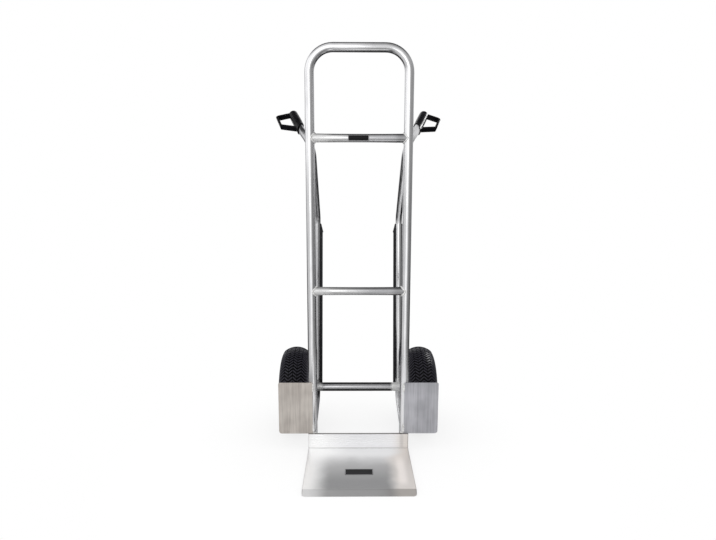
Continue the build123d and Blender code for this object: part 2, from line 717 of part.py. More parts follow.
def all_nodes():
    """Every node's name with its solids."""
    nodes = {
        "main_frame": [main_frame()],
        "upper_crossbar": [crossbar(UPPER_CROSSBAR_HEIGHT)],
        "middle_crossbar": [crossbar(MIDDLE_CROSSBAR_HEIGHT)],
        "toe_plate": [toe_plate()],
        "axle_tube": [axle_tube()],
        "axle": [axle()],
        "axle_washers": axle_washers(),
        "split_pins": split_pins(),
        "skid_rivets": rivets(),
    }
    paired = {
        "wheel_guard": wheel_guard(),
        "skid_tube": skid_tube(),
        "skid_clamp": skid_clamp(),
        "skid_strip": skid_strip(),
    }
    for name, solid in paired.items():
        nodes["right_" + name] = [solid]
        nodes["left_" + name] = [other_side(solid)]
    nodes["right_grip"] = [grip(RIGHT_BOW_TILT)]
    nodes["left_grip"] = [other_side(grip(LEFT_BOW_TILT))]
    for name, solids in wheel_pieces().items():
        placed = [at_axle(Pos(WHEEL_SPREAD, 0, 0) * solid) for solid in solids]
        nodes["right_" + name] = placed
        nodes["left_" + name] = [other_side(solid) for solid in placed]
    return nodes


os.makedirs("parts", exist_ok=True)
for node, solids in all_nodes().items():
    shape = solids[0] if len(solids) == 1 else Compound(children=solids)
    export_step(shape, "parts/" + node + ".step")
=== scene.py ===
import math

import bpy
import numpy as np
from mathutils import Matrix


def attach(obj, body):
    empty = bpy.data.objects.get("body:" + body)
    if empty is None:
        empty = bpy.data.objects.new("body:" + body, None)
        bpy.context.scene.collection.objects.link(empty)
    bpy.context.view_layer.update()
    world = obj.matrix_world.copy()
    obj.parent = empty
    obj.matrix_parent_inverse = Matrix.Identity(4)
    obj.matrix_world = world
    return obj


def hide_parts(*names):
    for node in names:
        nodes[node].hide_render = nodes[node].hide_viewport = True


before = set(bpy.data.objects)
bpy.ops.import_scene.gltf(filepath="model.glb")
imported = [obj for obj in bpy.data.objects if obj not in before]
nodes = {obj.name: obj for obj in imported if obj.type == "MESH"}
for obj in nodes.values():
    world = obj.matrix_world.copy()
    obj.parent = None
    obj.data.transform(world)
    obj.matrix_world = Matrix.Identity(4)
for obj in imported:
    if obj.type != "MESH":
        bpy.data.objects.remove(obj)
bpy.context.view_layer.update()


# MAIN FRAME
# One drawn aluminium tube, bent cold to a hoop, so that both rails and the top loop are one piece.
# The bare metal is polished and keeps faint drawing lines along the tube and a few dull patches.
class Wire:
    """A socket of a shader. Arithmetic on wires and numbers adds Math nodes; node() adds any other node."""

    def __init__(self, tree, socket=None):
        self.tree, self.socket = tree, socket

    def node(self, kind, settings=None, inputs=None, out=0):
        """Adds a node: its settings first, then the values or links of its inputs, by name or number."""
        made = self.tree.nodes.new("ShaderNode" + kind)
        for name, value in (settings or {}).items():
            setattr(made, name, value)
        for key, value in (inputs or {}).items():
            if isinstance(value, Wire):
                self.tree.links.new(value.socket, made.inputs[key])
            else:
                made.inputs[key].default_value = value
        return Wire(self.tree, made.outputs[out] if made.outputs else None)

    def maths(self, operation, *values):
        """Adds a Math node on wires and numbers."""
        return self.node("Math", {"operation": operation}, dict(enumerate(values)))

    def __add__(self, other):
        return self.maths("ADD", self, other)

    def __sub__(self, other):
        return self.maths("SUBTRACT", self, other)

    def __rsub__(self, other):
        return self.maths("SUBTRACT", other, self)

    def __mul__(self, other):
        return self.maths("MULTIPLY", self, other)

    def __abs__(self):
        return self.maths("ABSOLUTE", self)

    __radd__, __rmul__ = __add__, __mul__


def new_finish(name):
    """An empty material and the wire that starts its nodes."""
    made = bpy.data.materials.new(name)
    made.use_nodes = True
    made.node_tree.nodes.clear()
    return made, Wire(made.node_tree)


def object_place(wire):
    """The three object coordinates as wires, in metres."""
    place = wire.node("TexCoord", out="Object")
    return [wire.node("SeparateXYZ", None, {0: place}, out=k) for k in range(3)]


NOISE_ROUGHNESS = 0.55


def grain(wire, place, fineness, detail=3.0):
    """Noise of about 0 to 1 at a place of three coordinates. Fineness is the count of grains to the metre,
    one number or one for each coordinate."""
    counts = np.broadcast_to(fineness, 3).tolist()
    vector = wire.node("CombineXYZ", None, {k: place[k] * counts[k] for k in range(3)})
    look = {"Vector": vector, "Scale": 1.0, "Detail": detail, "Roughness": NOISE_ROUGHNESS}
    return wire.node("TexNoise", None, look)


def step(wire, start, end):
    """0 at start, 1 at end and a smooth rise between them; start may be the greater one."""
    limits = {0: wire, 1: start, 2: end, 3: 0.0, 4: 1.0}
    return wire.node("MapRange", {"interpolation_type": "SMOOTHSTEP"}, limits)


def tint(wire, factor, *colours):
    """Colour between two colours, each a wire or three numbers."""
    first, second = [colour if isinstance(colour, Wire) else (*colour, 1.0) for colour in colours]
    return wire.node("Mix", {"data_type": "RGBA"}, {0: factor, 6: first, 7: second}, out=2)


def relief(wire, height, distance):
    """Normal of a surface whose relief is height times distance, in metres."""
    return wire.node("Bump", None, {"Strength": 1.0, "Distance": distance, "Height": height})


def lay(wire, sockets):
    """Closes a material with its shader."""
    wire.node("OutputMaterial", None, {0: wire.node("BsdfPrincipled", None, sockets)})


def dress(material, *names):
    """Gives CAD nodes their finish."""
    for name in names:
        for slot in nodes[name].material_slots:
            slot.material = material


DRAWN_LINES, DRAWN_BANDS, DULL_PATCHES = (900.0, 900.0, 9.0), (170.0, 170.0, 5.0), (38.0, 38.0, 24.0)
BRIGHT_METAL, DULL_METAL = (0.90, 0.90, 0.91), (0.72, 0.72, 0.735)
EDGE_OF_METAL = (0.62, 0.62, 0.64, 1.0)


def drawn_tube(wire, tube_place, satin, bright, dulled, edge=EDGE_OF_METAL):
    """Polished drawn tube: lines that are fine across the tube and long along it, over soft dull patches.
    The tube's place is (across, around, along). Where satin is 1 the tube is ground to a pale, even satin."""
    lines = grain(wire, tube_place, DRAWN_LINES)
    bands = grain(wire, tube_place, DRAWN_BANDS, detail=1.0)
    patches = grain(wire, object_place(wire), DULL_PATCHES, detail=4.0)
    dull = step(lines * 0.5 + bands * 0.2 + patches * 0.3, 0.38, 0.66)
    lay(wire, {
        "Base Color": tint(wire, dull, bright, dulled),
        "Metallic": 1.0 - satin * 0.45,
        "Roughness": 0.12 + dull * 0.07 + patches * 0.04 + satin * 0.2,
        "Specular Tint": edge,
        "Normal": relief(wire, lines, distance=0.000015),
    })


RAIL_X, RAIL_Y, RAIL_RADIUS = 0.146, 0.021, 0.014
HOOP_BEND, HOOP_TOP = 0.069, 1.241
hoop_metal, wire = new_finish("hoop_tube")
x, y, z = object_place(wire)
# Place across the tube in the hoop's own plane: the distance from the rectangle between the bends' centres
side, rise = abs(x) - (RAIL_X - HOOP_BEND), z - (HOOP_TOP - HOOP_BEND)
beyond_side, beyond_rise = wire.maths("MAXIMUM", side, 0.0), wire.maths("MAXIMUM", rise, 0.0)
corner = wire.maths("SQRT", beyond_side * beyond_side + beyond_rise * beyond_rise)
from_hoop = corner + wire.maths("MINIMUM", wire.maths("MAXIMUM", side, rise), 0.0)

# Painted shade: the hoop's underside between the bends is painted dark and the right half of its top grey
UNDERSIDE, BETWEEN_BENDS = (HOOP_TOP - 0.0085, HOOP_TOP - 0.0125), (0.105, 0.085)
GREY_LEFT, GREY_RIGHT, GREY_RISE = (-0.03, 0.06), (0.120, 0.085), (HOOP_TOP - 0.050, HOOP_TOP - 0.015)
HOOP_SHADE_BRIGHT, HOOP_SHADE_DULL = (0.20, 0.20, 0.205), (0.15, 0.15, 0.155)
underside_shade = step(z, *UNDERSIDE) * step(abs(x), *BETWEEN_BENDS)
top_right_shade = step(x, *GREY_LEFT) * step(x, *GREY_RIGHT) * step(z, *GREY_RISE)
handled_and_shaded = underside_shade * 0.8 + top_right_shade * 0.38
hoop_bright = tint(wire, handled_and_shaded, BRIGHT_METAL, HOOP_SHADE_BRIGHT)
hoop_dull = tint(wire, handled_and_shaded, DULL_METAL, HOOP_SHADE_DULL)

# The foot of the right rail is ground to a satin, most of all in a stripe along it
RIGHT_RAIL, RAIL_FOOT = (0.10, 0.13), (0.36, 0.20)
STRIPE_X, STRIPE_EDGE = RAIL_X - 0.0025, (0.0095, 0.0040)
ground_stripe = step(abs(x - STRIPE_X), *STRIPE_EDGE)
ground_foot = step(x, *RIGHT_RAIL) * step(z, *RAIL_FOOT) * (0.2 + ground_stripe * 1.6)
drawn_tube(wire, (from_hoop, y, z - abs(x)), ground_foot, hoop_bright, hoop_dull)
dress(hoop_metal, "main_frame")


# CROSSBARS
# Two waisted aluminium tubes between the rails, coped to them and welded all round.
# Each weld is a rippled bead of bright filler metal that has run a little way over both tubes.
SIDES = {"left": -1, "right": 1}
CROSSBAR_HEIGHTS = {"upper": 0.986, "middle": 0.524}
# Brightness of each bar at its left end, which is ground to a satin, and at its right end: painted light and
# shade, pale on the left and darker on the right
CROSSBAR_LIT_AND_SHADED_TONES = {"upper": (0.80, 0.53), "middle": (0.74, 0.43)}
GROUND_END, LIT_TO_SHADED_SPAN = (-0.070, -0.118), (-0.100, 0.060)
BAR_SHADED_TOP, BAR_SHADED_END = (0.0080, 0.0110), (0.095, 0.122)
BAR_SHADE_BRIGHT, BAR_SHADE_DULL = (0.12, 0.12, 0.12), (0.10, 0.10, 0.10)
for level_name, height in CROSSBAR_HEIGHTS.items():
    bar_metal, wire = new_finish(f"{level_name}_crossbar_metal")
    x, y, z = object_place(wire)
    left_tone, right_tone = CROSSBAR_LIT_AND_SHADED_TONES[level_name]
    # Painted shade darkens the top of each bar and its right end by the weld
    soot_and_shade = step(z - height, *BAR_SHADED_TOP) * 0.5 + step(x, *BAR_SHADED_END) * 0.4
    left_metal, right_metal = (left_tone, left_tone, left_tone), (right_tone, right_tone, right_tone * 1.03)
    toned = tint(wire, step(x, *LIT_TO_SHADED_SPAN), left_metal, right_metal)
    bar_bright = tint(wire, soot_and_shade, toned, BAR_SHADE_BRIGHT)
    bar_dull = tint(wire, 0.19 + soot_and_shade * 0.81, toned, BAR_SHADE_DULL)
    drawn_tube(wire, (y, z, x), step(x, *GROUND_END), bar_bright, bar_dull)
    dress(bar_metal, f"{level_name}_crossbar")

weld_metal, wire = new_finish("weld_metal")
place = object_place(wire)
soot_and_shade = step(grain(wire, place, fineness=160.0), 0.42, 0.70)
freckle = grain(wire, place, fineness=900.0)
lay(wire, {
    "Base Color": tint(wire, soot_and_shade, (0.93, 0.93, 0.92), (0.66, 0.65, 0.64)),
    "Metallic": 0.6,
    "Roughness": 0.24 + freckle * 0.22,
    "Normal": relief(wire, freckle, distance=0.0002),
})


def unit(vectors):
    """The same vectors at length 1."""
    return vectors / np.linalg.norm(vectors, axis=-1, keepdims=True)


def skin(name, points, material, round_rows, round_columns):
    """A mesh from a grid of points: row i and column j hold one point. The grid may close either way, and
    a grid that closes by its columns alone, as a tube does, gets a lid on its first and last row."""
    rows, columns = points.shape[:2]
    i = np.arange(rows if round_rows else rows - 1)[:, None]
    j = np.arange(columns if round_columns else columns - 1)[None, :]
    here, below, beside = i * columns, (i + 1) % rows * columns, (j + 1) % columns
    faces = [*np.stack([here + j, here + beside, below + beside, below + j], -1).reshape(-1, 4)]
    if round_columns and not round_rows:
        faces += [np.arange(columns)[::-1], np.arange(columns) + (rows - 1) * columns]
    mesh = bpy.data.meshes.new(name)
    mesh.from_pydata(points.reshape(-1, 3), [], faces)
    mesh.shade_smooth()
    mesh.materials.append(material)
    piece = bpy.data.objects.new(name, mesh)
    bpy.context.scene.collection.objects.link(piece)
    return piece


BEAD_SIDES = 10
BEAD_RIPPLE = 0.0026
BEAD_SCALLOP = 0.15
BLUNT_TIP = 0.02


def bead(name, path, outward, radius, closed):
    """Weld bead along a path of points. Its section is a circle, half sunk into the seam, whose radius is
    multiplied by 1 - scallop * |sin(pi * length / ripple)|. An open bead closes to a blunt end over its
    first and last radius."""
    after, before = np.roll(path, -1, 0), np.roll(path, 1, 0)
    if not closed:
        after[-1], before[0] = path[-1], path[0]
    tangent = unit(after - before)
    away = unit(outward - (outward * tangent).sum(1, keepdims=True) * tangent)
    sideways = np.cross(tangent, away)
    stretch = np.linalg.norm(np.diff(path, axis=0), axis=1)
    length = np.concatenate([[0.0], np.cumsum(stretch)])
    size = radius * (1.0 - BEAD_SCALLOP * np.abs(np.sin(np.pi * length / BEAD_RIPPLE)))
    if not closed:
        left = np.minimum(length, length[-1] - length) / radius
        size = size * np.sqrt(np.clip(left * (2.0 - np.clip(left, 0.0, 1.0)), BLUNT_TIP, 1.0))
    turn = np.linspace(0.0, 2.0 * np.pi, BEAD_SIDES, endpoint=False)
    ring = np.cos(turn)[None, :, None] * away[:, None] + np.sin(turn)[None, :, None] * sideways[:, None]
    piece = skin(name, path[:, None] + size[:, None, None] * ring, weld_metal, closed, True)
    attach(piece, "frame")


def coped_seam(foot, way, radius, count):
    """Seam of a tube that runs from a point on a rail's axis: the points on the tube's wall, at angle turn
    round the tube, that lie at the rail's radius from its axis. Gives the seam and the way out of its
    corner."""
    way = way / np.linalg.norm(way)
    level = unit(np.cross(way, [0.0, 0.0, 1.0]))
    upright = np.cross(level, way)
    turn = np.linspace(0.0, 2.0 * np.pi, count, endpoint=False)
    wall = np.cos(turn)[:, None] * level + np.sin(turn)[:, None] * upright
    flat = np.array([1.0, 1.0, 0.0])
    a = ((way * flat) ** 2).sum()
    b = (radius * wall * flat * way).sum(1)
    c = ((radius * wall * flat) ** 2).sum(1) - RAIL_RADIUS ** 2
    reach = (-b + np.sqrt(np.maximum(b * b - a * c, 0.0))) / a
    from_axis = radius * wall + reach[:, None] * way
    return foot + from_axis, unit(unit(from_axis * flat) + wall)


CROSSBAR_SEAM, CROSSBAR_WELD = 0.0134, 0.0034
for level_name, height in CROSSBAR_HEIGHTS.items():
    for side_name, side in SIDES.items():
        foot = np.array([side * RAIL_X, RAIL_Y, height])
        seam, outward = coped_seam(foot, np.array([-side, 0.0, 0.0]), CROSSBAR_SEAM, count=150)
        bead(f"{side_name}_{level_name}_crossbar_weld", seam, outward, CROSSBAR_WELD, closed=True)


# TOE PLATE
# A wide aluminium extrusion with an upright fluted flange, satin anodised, its ends sawn and its nose ground
# to a slope. A painted dark reflection lies on the middle of the tread, while its rim and the flange stay
# bright.
TREAD_TOP, FLANGE_TOP = 0.012, 0.061
TREAD_RISE, FLANGE_RISE = (0.0160, TREAD_TOP), (0.0140, 0.0170)
plate_metal, wire = new_finish("toe_plate_metal")
place = x, y, z = object_place(wire)
lines = grain(wire, place, fineness=(8.0, 700.0, 700.0))
cloud = grain(wire, place, fineness=14.0, detail=2.0)
speck = grain(wire, place, fineness=1500.0)
on_tread, on_flange = step(z, *TREAD_RISE), step(z, *FLANGE_RISE)

# The painted dark reflection on the tread is stronger towards the nose, but weaker on the edge of the nose
# itself
REFLECTION_LEFT, REFLECTION_RIGHT = (-0.136, -0.064), (0.136, 0.096)
REFLECTION_BACK, REFLECTION_FRONT, NOSE_EDGE = (-0.005, -0.100), (-0.10, -0.20), (-0.226, -0.236)
drift = x + cloud * 0.03
dark_reflection_across = step(drift, *REFLECTION_LEFT) * step(drift, *REFLECTION_RIGHT)
dark_reflection_along = step(y + cloud * 0.04, *REFLECTION_BACK) * 0.72 + step(y, *REFLECTION_FRONT) * 0.28
dark_reflection = dark_reflection_across * (dark_reflection_along - step(y, *NOSE_EDGE) * 0.25) * on_tread
scuff = step(grain(wire, place, fineness=(60.0, 240.0, 60.0), detail=5.0), 0.60, 0.74)

# Painted shade lies on the flange's top edge and in the heel, and a painted dark reflection of the right rail
# lies on the flange by it; the ground nose and the sawn ends are darker
TOP_EDGE, SAWN_END, RIGHT_HALF = (0.0600, 0.0607), (0.1572, 0.1590), (0.0, 0.1)
HEEL_Y, HEEL_Z, HEEL_SPREAD = -0.0010, 0.0145, (0.0040, 0.0015)
GROUND_NOSE, DARK_NOSE = (-0.2290, -0.2310), (0.04, 0.12)
RAIL_REFLECTION_X, RAIL_REFLECTION_EDGE = 0.1385, (0.0100, 0.0010)
heel_shade = step(abs(z - HEEL_Z) + abs(y - HEEL_Y), *HEEL_SPREAD)
darker_nose = step(y, *GROUND_NOSE) * (0.28 + step(x, *DARK_NOSE) * 0.20)
darker_ends = step(abs(x), *SAWN_END) * (0.30 + step(x, *RIGHT_HALF) * on_flange * 0.3)
rail_reflection = step(abs(x - RAIL_REFLECTION_X), *RAIL_REFLECTION_EDGE) * on_flange
shade_and_dark_marks = step(z, *TOP_EDGE) * 0.85 + heel_shade * 0.25 + darker_nose + darker_ends + rail_reflection * 0.20

# Painted light makes the metal whitest on the left, and a painted highlight lies as a paler streak on the
# tread; its right end is warmer
WHITE_TO_GREY, WARM_END, WARM_HEEL = (-0.125, -0.010), (0.060, 0.118), (-0.070, -0.020)
STREAK_X, STREAK_EDGE, STREAK_BACK, STREAK_FRONT = 0.127, (0.022, 0.002), (-0.03, -0.10), (-0.225, -0.185)
WHITE_METAL, GREY_TREAD, GREY_FLANGE = (1.0, 1.0, 1.0), (0.86, 0.86, 0.865), (0.94, 0.94, 0.955)
WARM_METAL, STREAK_HIGHLIGHT, DARK_REFLECTION_METAL = (0.79, 0.745, 0.71), (0.96, 0.905, 0.87), (0.29, 0.29, 0.295)
warm = step(x - step(y, *WARM_HEEL) * 0.040, *WARM_END)
highlight_streak = step(abs(x - STREAK_X), *STREAK_EDGE) * step(y, *STREAK_BACK) * step(y, *STREAK_FRONT) * on_tread
pale = tint(wire, step(x, *WHITE_TO_GREY), WHITE_METAL, tint(wire, on_flange, GREY_TREAD, GREY_FLANGE))
pale = tint(wire, highlight_streak, tint(wire, warm, pale, WARM_METAL), STREAK_HIGHLIGHT)
toned = tint(wire, dark_reflection * 0.95 + scuff * 0.06, pale, DARK_REFLECTION_METAL)
lay(wire, {
    "Base Color": tint(wire, shade_and_dark_marks, toned, (0.10, 0.09, 0.085)),
    "Metallic": 0.35,
    "Roughness": 0.34 + lines * 0.10 + dark_reflection * 0.08,
    "Normal": relief(wire, lines * 0.7 + speck * 0.3, distance=0.00005),
})
dress(plate_metal, "toe_plate")

RAIL_FOOT_WELD, RAIL_FOOT_RUN, RAIL_FOOT_LIFT = 0.0028, 0.0115, 0.0006
for side_name, side in SIDES.items():
    run = np.linspace(-RAIL_FOOT_RUN, 0.0, 48)
    front = RAIL_Y - np.sqrt(RAIL_RADIUS ** 2 - run ** 2) - RAIL_FOOT_LIFT
    seam = np.stack([side * (RAIL_X + run), front, np.full_like(run, FLANGE_TOP + RAIL_FOOT_LIFT)], 1)
    outward = np.tile([0.0, -0.6, 0.8], (len(run), 1))
    bead(f"{side_name}_rail_foot_weld", seam, outward, RAIL_FOOT_WELD, closed=False)


# WHEEL GUARDS
# A flat sheet of aluminium on each side keeps the load off the tyre. It stands on the flange and is welded
# to the front of the rail. The sheet is bare, rolled and brushed upright, with a few stray scratches.
def brushed_sheet(name, bright, dull):
    """Brushed sheet: upright lines, broad upright bands, a soft cloud and a few steep scratches."""
    material, wire = new_finish(name)
    place = x, y, z = object_place(wire)
    lines = grain(wire, place, fineness=(1100.0, 300.0, 12.0))
    bands = grain(wire, place, fineness=(120.0, 20.0, 2.0), detail=2.0)
    cloud = grain(wire, place, fineness=(16.0, 16.0, 12.0), detail=2.0)
    steep = x * 420.0 + z * 60.0
    scratch = step(grain(wire, (steep, y, z), fineness=(1.0, 60.0, 9.0), detail=1.0), 0.70, 0.76)
    fade = lines * 0.40 + bands * 0.22 + cloud * 0.38
    lay(wire, {
        "Base Color": tint(wire, step(fade, 0.34, 0.66), bright, dull),
        "Metallic": 0.6,
        "Roughness": 0.40 + lines * 0.14 - scratch * 0.10,
        "Specular Tint": EDGE_OF_METAL,
        "Normal": relief(wire, lines + scratch * 0.6, distance=0.00005),
    })
    return material


# The two sheets are lit and shaded copies of one metal: painted light makes the left one brighter and warmer,
# painted shade makes the right one darker and cooler
lit_left_sheet = brushed_sheet("lit_left_guard_sheet", bright=(0.71, 0.665, 0.615), dull=(0.43, 0.39, 0.36))
shaded_right_sheet = brushed_sheet("shaded_right_guard_sheet", bright=(0.565, 0.565, 0.60), dull=(0.34, 0.34, 0.365))
dress(lit_left_sheet, "left_wheel_guard")
dress(shaded_right_sheet, "right_wheel_guard")

GUARD_TOP = 0.231
GUARD_SEAM_X, GUARD_SEAM_Y = RAIL_X - 0.0016, 0.0060
GUARD_WELD, WEAVE_WIDTH, WEAVE_PITCH = 0.0030, 0.0011, 0.0052
GUARD_WELD_SPANS = {"head": (GUARD_TOP - 0.030, GUARD_TOP - 0.004), "foot": (0.066, 0.092)}
for side_name, side in SIDES.items():
    for spot, (low, high) in GUARD_WELD_SPANS.items():
        rise = np.linspace(low, high, 96)
        weave = WEAVE_WIDTH * np.sin((rise - low) * (2.0 * np.pi / WEAVE_PITCH))
        seam = np.stack([side * (GUARD_SEAM_X + weave), np.full_like(rise, GUARD_SEAM_Y), rise], 1)
        outward = np.tile([-side * 0.7, -0.7, 0.0], (len(rise), 1))
        bead(f"{side_name}_guard_{spot}_weld", seam, outward, GUARD_WELD, closed=False)


# SKID TUBES
# A thinner aluminium tube on each side, bent in four places: it holds the grip, leans on the rail, runs back
# and down as the stair skid, and turns forward to the foot of the rail, where it is coped and welded.
RUN_TOP, RUN_END, RUN_SLOPE, RUN_FRONT = (0.930, 0.860), (0.715, 0.735), 1.0436, (1.0400, 1.0320)
RUN_STRIPE_X, RUN_STRIPE_EDGE = 0.1411, (0.0036, 0.0022)
INNER_EDGE, OUTER_EDGE = (0.1390, 0.1372), (0.1436, 0.1450)
GROUND_HEAD, BEND_TOP, BEND_END = (0.960, 1.010), (0.175, 0.145), (0.088, 0.104)
SHADED_FOOT = (0.150, 0.120)
for side_name in SIDES:
    skid_metal, wire = new_finish(f"{side_name}_skid_metal")
    x, y, z = object_place(wire)
    if side_name == "left":
        # Painted shade makes the left tube darker than the right, and its foot darker still
        ground = 0.0
        shaded_foot = step(z, *SHADED_FOOT) * 0.75
        bright = tint(wire, shaded_foot, (0.55, 0.55, 0.56), (0.10, 0.10, 0.11))
        dulled = tint(wire, shaded_foot, (0.42, 0.42, 0.43), (0.08, 0.08, 0.09))
    else:
        # The right tube is ground pale under the grip and at the bend by the axle, and a ground stripe lies
        # on the front of the run that slopes back from the rail, where painted shade darkens the edges of the
        # run
        on_run = step(z, *RUN_TOP) * step(z, *RUN_END) * step(y + z * RUN_SLOPE, *RUN_FRONT)
        stripe = on_run * step(abs(x - RUN_STRIPE_X), *RUN_STRIPE_EDGE)
        shaded_edges = on_run * (step(x, *INNER_EDGE) * 0.35 + step(x, *OUTER_EDGE) * 0.85)
        ground = step(z, *GROUND_HEAD) * 1.5 + stripe * 1.5 + step(z, *BEND_TOP) * step(z, *BEND_END)
        bright = tint(wire, shaded_edges, BRIGHT_METAL, (0.22, 0.22, 0.23))
        dulled = tint(wire, shaded_edges, DULL_METAL, (0.16, 0.16, 0.17))
    drawn_tube(wire, (x, y, z + y * 0.4), ground, bright, dulled)
    dress(skid_metal, f"{side_name}_skid_tube")

SKID_RADIUS, SKID_FOOT_WELD = 0.011, 0.0022
SKID_FOOT, SKID_FOOT_BEND = np.array([RAIL_X, RAIL_Y, 0.066]), np.array([RAIL_X, 0.2234, 0.100])
FLIPS = {"left": np.array([-1.0, 1.0, 1.0]), "right": np.ones(3)}
seam, outward = coped_seam(SKID_FOOT, SKID_FOOT_BEND - SKID_FOOT, SKID_RADIUS, count=120)
for side_name, flip in FLIPS.items():
    bead(f"{side_name}_skid_foot_weld", seam * flip, outward * flip, SKID_FOOT_WELD, closed=True)


# AXLE
# A thick tube lies across the front of both skid tubes and is welded to them; the steel axle goes through it.
# Washers and a split pin at each end, bright zinc plated, keep the wheels on.
AXLE_Y, AXLE_Z, AXLE_TUBE_RADIUS = 0.200, 0.141, 0.015
CLEAN_RIGHT, CLEAN_LEFT = (0.112, 0.124), (-0.120, -0.132)
AXLE_SHADED_TOP, AXLE_SHADED_UNDERSIDE = (AXLE_Z + 0.0118, AXLE_Z + 0.0148), (AXLE_Z - 0.0015, AXLE_Z - 0.0048)
axle_tube_metal, wire = new_finish("axle_tube_metal")
x, y, z = object_place(wire)
# Painted shade makes the tube darker than bright metal and its top and underside near black, and the welding
# has left its ends clean and pale
clean_end = step(x, *CLEAN_RIGHT) + step(x, *CLEAN_LEFT) * 0.6
top_and_underside_shade = (step(z, *AXLE_SHADED_TOP) + step(z, *AXLE_SHADED_UNDERSIDE)) * (1.0 - clean_end)
shaded_bright = tint(wire, clean_end, (0.45, 0.45, 0.46), (0.86, 0.86, 0.85))
shaded_bright = tint(wire, top_and_underside_shade, shaded_bright, (0.04, 0.04, 0.04))
shaded_dull = tint(wire, clean_end, (0.35, 0.35, 0.36), (0.72, 0.72, 0.72))
shaded_dull = tint(wire, top_and_underside_shade, shaded_dull, (0.02, 0.02, 0.02))
drawn_tube(wire, (y, z, x), clean_end * 1.2, shaded_bright, shaded_dull, edge=(0.15, 0.15, 0.15, 1.0))
dress(axle_tube_metal, "axle_tube")

zinc, wire = new_finish("zinc_plate")
flake_look = {"Vector": wire.node("TexCoord", out="Object"), "Scale": 420.0}
flake = wire.node("TexVoronoi", None, flake_look, out="Color")
flake_tone = wire.node("SeparateXYZ", None, {0: flake})
stain = step(grain(wire, object_place(wire), fineness=90.0), 0.45, 0.75)
lay(wire, {
    "Base Color": tint(wire, flake_tone * 0.3 + stain * 0.5, (0.80, 0.80, 0.80), (0.55, 0.54, 0.50)),
    "Metallic": 1.0,
    "Roughness": 0.26 + stain * 0.2,
})
dress(zinc, "axle", "axle_washers", "split_pins")

AXLE_WELD, AXLE_WELD_HALF_WIDTH, AXLE_WELD_HALF_HEIGHT = 0.0034, 0.0088, 0.0098
SKID_AT_AXLE_X, SKID_AT_AXLE_Y = 0.1458, 0.2263
turn = np.linspace(0.0, 2.0 * np.pi, 120, endpoint=False)
out_x, up_z = AXLE_WELD_HALF_WIDTH * np.cos(turn), AXLE_WELD_HALF_HEIGHT * np.sin(turn)
tube_back = AXLE_Y + np.sqrt(AXLE_TUBE_RADIUS ** 2 - up_z ** 2)
skid_front = SKID_AT_AXLE_Y - np.sqrt(SKID_RADIUS ** 2 - out_x ** 2)
seam = np.stack([SKID_AT_AXLE_X + out_x, (tube_back + skid_front) / 2, AXLE_Z + up_z], 1)
outward = np.stack([np.cos(turn), np.zeros_like(turn), np.sin(turn)], 1)
for side_name in ("right", "left"):
    flip = FLIPS[side_name]
    bead(f"{side_name}_axle_weld", seam * flip, outward * flip, AXLE_WELD, closed=True)


# SKID STRIPS
# A black plastic channel is pressed on the back of each skid tube below a moulded clamp, and held by four
# rivets. The extruded plastic shows fine lines along its length, and stair edges have scuffed it grey.
strip_plastic, wire = new_finish("strip_plastic")
place = object_place(wire)
lines = grain(wire, place, fineness=(500.0, 500.0, 6.0))
scuff = step(grain(wire, place, fineness=(120.0, 60.0, 30.0), detail=5.0), 0.56, 0.78)
lay(wire, {
    "Base Color": tint(wire, scuff * 0.6 + lines * 0.2, (0.010, 0.010, 0.012), (0.045, 0.045, 0.048)),
    "Roughness": 0.38 + lines * 0.12 + scuff * 0.18,
    "Specular IOR Level": 0.15,
    "Normal": relief(wire, lines + scuff * 0.4, distance=0.00010),
})
dress(strip_plastic, "left_skid_strip", "right_skid_strip", "left_skid_clamp", "right_skid_clamp")

rivet_metal, wire = new_finish("rivet_metal")
worn = step(grain(wire, object_place(wire), fineness=500.0), 0.40, 0.70)
lay(wire, {
    "Base Color": tint(wire, worn, (0.78, 0.78, 0.79), (0.52, 0.52, 0.53)),
    "Metallic": 1.0,
    "Roughness": 0.28 + worn * 0.2,
})
dress(rivet_metal, "skid_rivets")


# GRIPS
# A black moulded D-grip is pushed on each tube end: a ringed sleeve with a strap-like bow for the knuckles.
# The hard plastic has a fine leathery grain, a soft shine and paler handled patches, and painted shade
# darkens its ring grooves.
GRIP_TIP, GRIP_AXIS = (0.213, 0.19531, 1.074), (0.2808, 0.8423, 0.4601)
SLEEVE_RADIUS, RING_PITCH, LAST_RING = 0.0155, 0.0098, 0.093
SLEEVE_WALL, SLEEVE_FOOT = (SLEEVE_RADIUS ** 2 * 1.12, SLEEVE_RADIUS ** 2), (LAST_RING, LAST_RING - 0.002)
RING_EDGE, BELOW_CAP = (0.26, 0.12), (0.004, 0.007)
MOUTH_WALL, MOUTH_FOOT = (0.0141 ** 2, 0.0133 ** 2), (0.080, 0.090)
DARK_PLASTIC, HANDLED_PLASTIC = (0.002, 0.002, 0.003), (0.010, 0.0095, 0.013)
SHADED_GROOVE_PLASTIC = (0.0005, 0.0005, 0.001)
